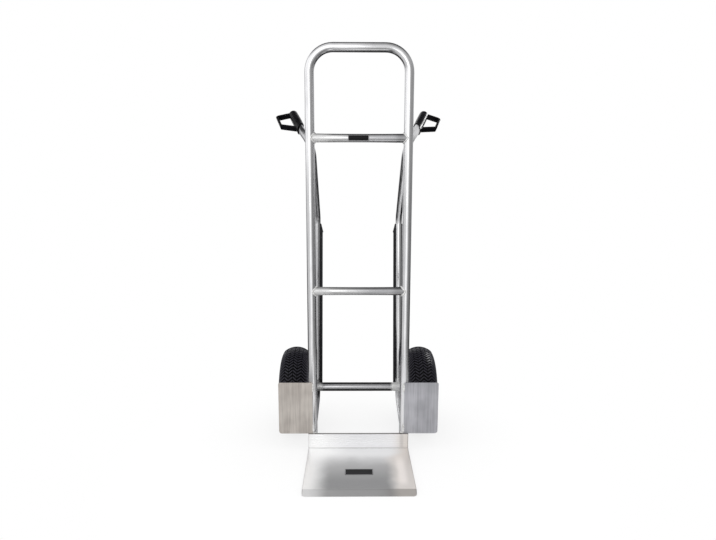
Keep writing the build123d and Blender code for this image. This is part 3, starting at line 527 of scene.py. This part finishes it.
for side_name, gloss in (("left", 0.07), ("right", 0.13)):
    grip_plastic, wire = new_finish(f"{side_name}_grip_plastic")
    place = x, y, z = object_place(wire)
    # Distance below the tip along the sleeve's axis, and the square of the distance from that axis
    from_tip = [part - tip for part, tip in zip((abs(x), y, z), GRIP_TIP)]
    below_tip = -1.0 * sum(part * way for part, way in zip(from_tip, GRIP_AXIS))
    off_axis = sum(part * part for part in from_tip) - below_tip * below_tip
    on_sleeve = step(off_axis, *SLEEVE_WALL) * step(below_tip, *SLEEVE_FOOT)
    turns = below_tip * (1.0 / RING_PITCH)
    from_ring = abs(turns - wire.maths("ROUND", turns))
    # Painted shade darkens the ring grooves
    ring = step(from_ring, *RING_EDGE) * on_sleeve * step(below_tip, *BELOW_CAP)
    mouth = step(off_axis, *MOUTH_WALL) * step(below_tip, *MOUTH_FOOT)
    pebble = grain(wire, place, fineness=1400.0, detail=2.0)
    handled_and_shaded = step(grain(wire, place, fineness=70.0, detail=4.0), 0.48, 0.76)
    paled = handled_and_shaded * 0.6 + pebble * 0.2 + on_sleeve * 0.4
    lay(wire, {
        "Base Color": tint(wire, ring, tint(wire, paled, DARK_PLASTIC, HANDLED_PLASTIC), SHADED_GROOVE_PLASTIC),
        "Roughness": 0.18 + pebble * 0.06 + handled_and_shaded * 0.10 + mouth * 0.5,
        "Specular IOR Level": gloss,
        "Normal": relief(wire, pebble, distance=0.00003),
    })
    dress(grip_plastic, f"{side_name}_grip")


# RIMS AND HUBS
# Each wheel has two pressed steel rim halves, bolted together, and a turned hub with two ball bearings.
# Rims and hub carry silver paint with a little orange peel; the bolts and nuts are zinc plated.
silver_paint, wire = new_finish("silver_paint")
place = object_place(wire)
flakes = grain(wire, place, fineness=2500.0, detail=1.0)
peel = grain(wire, place, fineness=260.0, detail=2.0)
dust = step(grain(wire, place, fineness=40.0, detail=4.0), 0.45, 0.75)
lay(wire, {
    "Base Color": tint(wire, dust * 0.5 + flakes * 0.3, (0.66, 0.67, 0.68), (0.44, 0.44, 0.44)),
    "Metallic": 0.75,
    "Roughness": 0.34 + dust * 0.16,
    "Coat Weight": 0.35,
    "Coat Roughness": 0.15,
    "Normal": relief(wire, peel, distance=0.00008),
})

ground_steel, wire = new_finish("ground_steel")
x, y, z = object_place(wire)
from_axle = wire.maths("SQRT", (y - AXLE_Y) * (y - AXLE_Y) + (z - AXLE_Z) * (z - AXLE_Z))
rings = grain(wire, (from_axle, x, 0.0), fineness=(2500.0, 900.0, 1.0))
lay(wire, {
    "Base Color": tint(wire, rings, (0.78, 0.78, 0.79), (0.58, 0.58, 0.60)),
    "Metallic": 1.0,
    "Roughness": 0.18 + rings * 0.16,
    "Normal": relief(wire, rings, distance=0.00003),
})

tube_rubber, wire = new_finish("tube_rubber")
bloom = grain(wire, object_place(wire), fineness=60.0, detail=4.0)
lay(wire, {
    "Base Color": tint(wire, bloom, (0.018, 0.018, 0.018), (0.05, 0.05, 0.05)),
    "Roughness": 0.5 + bloom * 0.25,
    "Normal": relief(wire, bloom, distance=0.0001),
})

WHEEL_FINISHES = (
    (silver_paint, ("outer_rim", "inner_rim", "hub")),
    (zinc, ("rim_bolts", "rim_nuts")),
    (ground_steel, ("outer_races", "inner_races", "bearing_balls", "bearing_shields")),
    (tube_rubber, ("inner_tube", "valve")),
)
for side_name in SIDES:
    for finish, parts in WHEEL_FINISHES:
        dress(finish, *(f"{side_name}_{part}" for part in parts))


# TYRES
# A moulded rubber tyre with a herringbone tread: slanting bars in six rows, each row leaning against the
# next. The outer bars run out over the shoulders, and the side walls are plain.
WHEEL_X = 0.218
CROWN_RADIUS, SHOULDER_RADIUS, HALF_TREAD = 0.141, 0.127, 0.040
HALF_WIDTH, WIDEST_RADIUS = 0.050, 0.0935
BEAD_TOP, BEAD_SEAT, HALF_RIM, BEAD_TOE, BEAD_INSIDE = 0.067, 0.051, 0.032, 0.020, 0.060
TREAD_ROWS, BAR_COUNT = 6, 76
BAR_DEPTH, SIPE_DEPTH, BAR_SLANT = 0.0055, 0.0036, 0.0125
UPPER_WALL_POINTS, LOWER_WALL_POINTS, RUN_OUT = 15, 10, 7
TREAD_EDGE = math.radians(32.0)

tyre_rubber, wire = new_finish("tyre_rubber")
place = object_place(wire)
groove = wire.node("Attribute", {"attribute_name": "groove"}, out="Fac")
mottle = grain(wire, place, fineness=45.0, detail=5.0)
pore = grain(wire, place, fineness=900.0, detail=2.0)
# Painted shade darkens the grooves, and a random mottle darkens the rubber in patches
groove_shade_and_mottle = step(groove * 0.8 + mottle * 0.4, 0.25, 0.75)
grazed = step(wire.node("LayerWeight", None, {"Blend": 0.5}, out="Facing"), 0.72, 0.86)
lay(wire, {
    "Base Color": tint(wire, groove_shade_and_mottle, (0.031, 0.0300, 0.039), (0.003, 0.003, 0.004)),
    "Roughness": 0.20 + mottle * 0.16 + groove * 0.40 + grazed * 0.70,
    "Specular IOR Level": 0.18,
    "Normal": relief(wire, pore, distance=0.00015),
})


def arc_from(centre, radius, start, end, count):
    """Points of a circular arc in the plane of (axial place, radius), its angle counted from the axle."""
    turn = np.linspace(start, end, count)
    return np.stack([centre[0] + radius * np.cos(turn), centre[1] + radius * np.sin(turn)], 1)


def tyre_piece(name, body, side):
    """Tyre as a closed surface on two parameters, the turn round the axle and the place along the section's
    outline. Tread rows follow a zigzag, so each bar's edges lie on lines of the grid; bars stand at the
    outline, and grooves lie below it by their depth along the outline's normal."""
    crown_rise = CROWN_RADIUS - SHOULDER_RADIUS
    crown_curve = (HALF_TREAD ** 2 + crown_rise ** 2) / (2 * crown_rise)
    crown_half = math.asin(HALF_TREAD / crown_curve)
    row_share = np.array([0.0, 0.07, 0.14, 0.32, 0.5, 0.68, 0.86, 0.93])
    across = np.concatenate([(np.arange(TREAD_ROWS)[:, None] + row_share).ravel(), [TREAD_ROWS]]) / TREAD_ROWS
    lean = crown_half * (2.0 * across - 1.0)
    crown = np.stack([crown_curve * np.sin(lean), CROWN_RADIUS - crown_curve + crown_curve * np.cos(lean)], 1)

    drop, gain = HALF_WIDTH - HALF_TREAD, SHOULDER_RADIUS - WIDEST_RADIUS
    curve = (drop ** 2 + gain ** 2) / (2 * drop)
    centre = (HALF_WIDTH - curve, WIDEST_RADIUS)
    upper_wall = arc_from(centre, curve, math.asin(gain / curve), 0.0, UPPER_WALL_POINTS)[1:]
    drop, gain = HALF_WIDTH - HALF_RIM, WIDEST_RADIUS - BEAD_TOP
    curve = (drop ** 2 + gain ** 2) / (2 * drop)
    centre = (HALF_WIDTH - curve, WIDEST_RADIUS)
    lower_wall = arc_from(centre, curve, 0.0, -math.asin(gain / curve), LOWER_WALL_POINTS)[1:]
    inside = np.array([[HALF_RIM, BEAD_SEAT], [BEAD_TOE, BEAD_SEAT], [BEAD_TOE, BEAD_INSIDE], [0.042, 0.078],
                       [0.045, WIDEST_RADIUS], [0.043, 0.112], [0.035, 0.1225], [0.018, 0.1305]])
    right = np.concatenate([upper_wall, lower_wall, inside])
    outline = np.concatenate([crown, right, [[0.0, 0.132]], right[::-1] * [-1.0, 1.0]])

    tangent = np.roll(outline, -1, 0) - np.roll(outline, 1, 0)
    normal = unit(np.stack([-tangent[:, 1], tangent[:, 0]], 1))
    places = len(outline)
    tread = np.arange(places) < len(crown)
    edge = np.zeros(places)
    edge[:len(crown)] = across * TREAD_ROWS
    zigzag = (1.0 - np.abs((edge % 2.0) - 1.0)) * BAR_SLANT
    # Share of its full depth that a groove has: all of it on the tread, and ever less down the wall
    run_out = np.clip(1.0 - (np.arange(RUN_OUT) + 1.0) / RUN_OUT, 0.0, 1.0)
    groove_share = np.where(tread, 1.0, 0.0)
    groove_share[len(crown):len(crown) + RUN_OUT] = run_out
    groove_share[places - RUN_OUT:] = run_out[::-1]
    from_fold = np.abs(edge - np.round(edge))
    sipe = np.where(tread & (from_fold < 0.05) & (edge > 0.5) & (edge < TREAD_ROWS - 0.5), SIPE_DEPTH, 0.0)

    bar_share = np.array([0.0, 0.07, 0.25, 0.43, 0.50, 0.62, 0.75, 0.88])
    bar_stands = np.array([0.0, 1.0, 1.0, 1.0, 0.0, 0.0, 0.0, 0.0])
    turn = (np.arange(BAR_COUNT)[:, None] + bar_share).ravel() * (2.0 * np.pi / BAR_COUNT)
    raised = np.tile(bar_stands, BAR_COUNT)[:, None]
    sunk = np.maximum((1.0 - raised) * BAR_DEPTH * groove_share, sipe)
    axial = side * WHEEL_X + (outline[:, 0] - sunk * normal[:, 0])
    radius = outline[:, 1] - sunk * normal[:, 1]
    angle = turn[:, None] + zigzag / CROWN_RADIUS
    points = np.stack([axial, AXLE_Y + radius * np.sin(angle), AXLE_Z + radius * np.cos(angle)], -1)
    piece = skin(name, points, tyre_rubber, True, True)
    piece.data.set_sharp_from_angle(angle=TREAD_EDGE)
    depth = piece.data.attributes.new("groove", "FLOAT", "POINT")
    depth.data.foreach_set("value", (sunk / BAR_DEPTH).astype(np.float32).ravel())
    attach(piece, body)
    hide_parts(name.replace("_tread", ""))
    return piece


tyres = {}
for side_name, side in SIDES.items():
    tyres[side_name] = tyre_piece(f"{side_name}_tyre_tread", f"{side_name}_wheel", side)


# BADGES
# Two blank black enamel labels with a thin bright border: one bent round the front of the upper crossbar,
# one flat on the tread of the toe plate. They are glued on, and 0.6 mm thick.
BADGE_THICKNESS, BADGE_SUNK = 0.0006, 0.0002
BADGE_EDGE = math.radians(40.0)
BORDER_OUTSIDE, BORDER_INSIDE = (0.0007, 0.0009), (0.0019, 0.0017)
badge_enamel, wire = new_finish("badge_enamel")
haze = grain(wire, object_place(wire), fineness=200.0)
gaps = [wire.node("Attribute", {"attribute_name": name}, out="Fac") for name in ("end_gap", "edge_gap")]
rim = wire.maths("MINIMUM", *gaps)
border = step(rim, *BORDER_OUTSIDE) * step(rim, *BORDER_INSIDE)
lay(wire, {
    "Base Color": tint(wire, border * 0.8 + haze * 0.01, (0.005, 0.005, 0.006), (0.50, 0.50, 0.51)),
    "Roughness": 0.26 + haze * 0.16,
    "Specular IOR Level": 0.12,
})


def badge(name, width, height, seat):
    """Blank label, a closed band carried across its width. Its section runs down over the face, round the
    lower edge, back up under the label and round the upper edge; seat lays a place (across, up, off the
    seat) on what carries it."""
    across = np.concatenate([[-0.5, -0.498], np.linspace(-0.49, 0.49, 21), [0.498, 0.5]]) * width
    face = np.concatenate([[0.5, 0.495], np.linspace(0.48, -0.48, 17), [-0.495, -0.5]]) * height
    lift = np.full(len(face), BADGE_THICKNESS)
    lift[[0, -1]] = 0.6 * BADGE_THICKNESS
    up = np.concatenate([face, face[::-1]])
    off = np.concatenate([lift, np.full(len(face), -BADGE_SUNK)])
    u, v = np.meshgrid(across, up, indexing="ij")
    piece = skin(name, seat(u, v, np.broadcast_to(off, u.shape)), badge_enamel, False, True)
    for gap_name, gap in (("end_gap", width / 2 - np.abs(u)), ("edge_gap", height / 2 - np.abs(v))):
        stored = piece.data.attributes.new(gap_name, "FLOAT", "POINT")
        stored.data.foreach_set("value", gap.astype(np.float32).ravel())
    piece.data.set_sharp_from_angle(angle=BADGE_EDGE)
    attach(piece, "frame")


TREAD_BADGE_X, TREAD_BADGE_Y = 0.0004, -0.142
CROSSBAR_BADGE_X, CROSSBAR_WAIST = -0.002, 0.01225


def flat_on_tread(u, v, off):
    """Flat on the tread of the toe plate, its top edge towards the rails."""
    return np.stack([u + TREAD_BADGE_X, v + TREAD_BADGE_Y, TREAD_TOP + off], -1)


def round_crossbar(u, v, off):
    """Bent round the front of the upper crossbar: v is the length of arc above the level of its axis."""
    turn, radius = v / CROSSBAR_WAIST, CROSSBAR_WAIST + off
    rise = CROSSBAR_HEIGHTS["upper"] + radius * np.sin(turn)
    return np.stack([u + CROSSBAR_BADGE_X, RAIL_Y - radius * np.cos(turn), rise], -1)


badge("toe_plate_badge", width=0.083, height=0.032, seat=flat_on_tread)
badge("crossbar_badge", width=0.062, height=0.0185, seat=round_crossbar)


# FLOOR, LIGHT AND CAMERA
# A pale studio floor before a white backdrop. One soft lamp stands behind the camera, and two at the back
# are seen only in the right tyre and the right grip. The camera stands at waist height in front of the toe
# plate and looks slightly down.
WHITE = (1.0, 1.0, 1.0, 1.0)


def ray_kinds(wire):
    """Three wires that are 1 for rays from the camera, for mirrored rays and for rays through glass."""
    kinds = ("Is Camera Ray", "Is Glossy Ray", "Is Transmission Ray")
    return [wire.node("LightPath", out=kind) for kind in kinds]


FLOOR_RADIUS, FLOOR_HOLE, FLOOR_LEVEL = 0.85, 0.001, -0.0005
FLOOR_FADE, NEAR_TRUCK = (0.55, 0.80), (0.50, 0.25)
LIT_X, LIT_EDGE, LIT_FRONT = 0.11, (0.20, 0.09), (-0.22, -0.32)
FLOOR_PAINT, DIM_FLOOR, NEAR_FLOOR = (0.96, 0.96, 0.96), (0.31, 0.31, 0.31), (0.58, 0.58, 0.58)
floor_paint, wire = new_finish("floor_paint")
x, y = object_place(wire)[:2]
seen, glossy, through = ray_kinds(wire)
from_truck = wire.maths("SQRT", x * x + y * y)
# Metal mirrors a dimmer floor, apart from a lit strip in front of the nose
mirrored = tint(wire, step(from_truck, *NEAR_TRUCK), DIM_FLOOR, NEAR_FLOOR)
lit_strip = step(abs(x - LIT_X), *LIT_EDGE) * step(y, *LIT_FRONT)
mirrored = tint(wire, lit_strip, mirrored, FLOOR_PAINT)
paint = wire.node("BsdfDiffuse", None, {"Color": tint(wire, glossy, FLOOR_PAINT, mirrored)})
white = wire.node("Emission", None, {"Color": WHITE, "Strength": 1.0})
shown = (seen + through) * (0.78 + step(from_truck, *FLOOR_FADE) * 0.22) + glossy * 0.05
wire.node("OutputMaterial", None, {0: wire.node("MixShader", None, {0: shown, 1: paint, 2: white})})
round_floor = np.linspace(0.0, 2.0 * np.pi, 64, endpoint=False)
turn, reach = np.meshgrid(round_floor, [FLOOR_HOLE, FLOOR_RADIUS], indexing="ij")
disc = np.stack([reach * np.cos(turn), reach * np.sin(turn), np.full_like(turn, FLOOR_LEVEL)], -1)
floor = skin("floor", disc[:, ::-1], floor_paint, True, False)

# Mirror-like metal shows the white backdrop behind the truck, and in front a room that is bright on its left
# and over the camera, and dim on its right and below. Limits are parts of a unit way to the east, north or up
world = bpy.data.worlds.new("studio")
bpy.context.scene.world = world
world.use_nodes = True
world.node_tree.nodes.clear()
wire = Wire(world.node_tree)
way = wire.node("TexCoord", out="Generated")
east, north, up = [wire.node("SeparateXYZ", None, {0: way}, out=k) for k in range(3)]
above = step(up, -0.05, 0.10) * step(up, 0.85, 0.50)
left_wall = step(east, 0.45, -0.30) * step(north, 0.75, 0.10) * (0.44 + above * 0.36)
over_camera = step(abs(east - 0.02), 0.80, 0.05) * step(up, -0.60, -0.15) * step(up, 1.0, 0.5)
over_camera = over_camera * step(north, 0.1, -0.3) * (0.26 + step(up, 0.15, -0.15) * 0.40)
backdrop = step(north, 0.55, 0.90) * step(up, 0.75, 0.45) * (0.60 + step(east, 0.15, -0.15) * 0.30)
ceiling = step(up, 0.2, 0.75) * 0.12
low_behind = step(north, -0.10, 0.30) * step(up, 0.0, -0.30) * 0.95
high_behind = step(north, -0.25, 0.25) * step(up, 0.55, 0.80) * 0.85
room = 0.20 + above * 0.12 + left_wall + over_camera + backdrop + ceiling
mirrored = room * (1.0 - low_behind - high_behind)
softly = 0.85 + step(up, -0.2, 0.9) * 0.30
seen, glossy, through = ray_kinds(wire)
plainly = wire.maths("MINIMUM", seen + through, 1.0)
light = plainly + (1.0 - plainly) * (glossy * mirrored + (1.0 - glossy) * softly)
shine = wire.node("Background", None, {"Color": WHITE, "Strength": light})
wire.node("OutputWorld", None, {0: shine})

TRUCK_MIDDLE = (0.0, 0.05, 0.62)


def soft_lamp(name, azimuth, elevation, distance, width, height, radiance, glints_on=()):
    """Area lamp that looks at the middle of the truck, its azimuth counted from the camera's side to the
    right. Its power is pi times its area times the radiance of its face. A lamp with glints_on is seen in
    those pieces alone and gives no other light."""
    lamp = bpy.data.lights.new(name, "AREA")
    lamp.shape, lamp.size, lamp.size_y = "RECTANGLE", width, height
    lamp.energy = math.pi * width * height * radiance
    swing = Matrix.Rotation(math.radians(azimuth), 4, "Z")
    lift = Matrix.Rotation(math.pi / 2 - math.radians(elevation), 4, "X")
    made = bpy.data.objects.new(name, lamp)
    back = Matrix.Translation((0.0, 0.0, distance))
    made.matrix_world = Matrix.Translation(TRUCK_MIDDLE) @ (swing @ lift) @ back
    if glints_on:
        made.visible_diffuse = False
        made.light_linking.receiver_collection = bpy.data.collections.new(f"{name}_glints")
        for piece in glints_on:
            made.light_linking.receiver_collection.objects.link(piece)
    bpy.context.scene.collection.objects.link(made)


soft_lamp("camera_lamp", azimuth=-10.0, elevation=14.0, distance=3.2, width=1.2, height=1.5, radiance=0.9)
soft_lamp("tyre_lamp", azimuth=130.0, elevation=33.0, distance=3.0, width=1.5, height=1.1, radiance=12.0,
          glints_on=[tyres["right"]])
soft_lamp("grip_lamp", azimuth=135.0, elevation=28.0, distance=3.0, width=0.6, height=0.6, radiance=11.0,
          glints_on=[nodes["right_grip"]])

CAMERA_PLACE = (-0.0188, -1.5909, 0.855)
CAMERA_PITCH, CAMERA_YAW, CAMERA_ROLL = 9.33, 0.58, 0.15
PHOTO_WIDTH, PHOTO_FOCUS = 716.0, 530.0
SENSOR_WIDTH = 36.0
lens = bpy.data.cameras.new("camera")
lens.sensor_width = SENSOR_WIDTH
lens.lens = SENSOR_WIDTH * PHOTO_FOCUS / PHOTO_WIDTH
camera = bpy.data.objects.new("camera", lens)
camera.matrix_world = (Matrix.Translation(CAMERA_PLACE) @ Matrix.Rotation(math.radians(-CAMERA_YAW), 4, "Z")
                       @ Matrix.Rotation(math.radians(90.0 - CAMERA_PITCH), 4, "X")
                       @ Matrix.Rotation(math.radians(CAMERA_ROLL), 4, "Z"))
bpy.context.scene.collection.objects.link(camera)
bpy.context.scene.camera = camera
bpy.context.scene.view_settings.view_transform = "Standard"
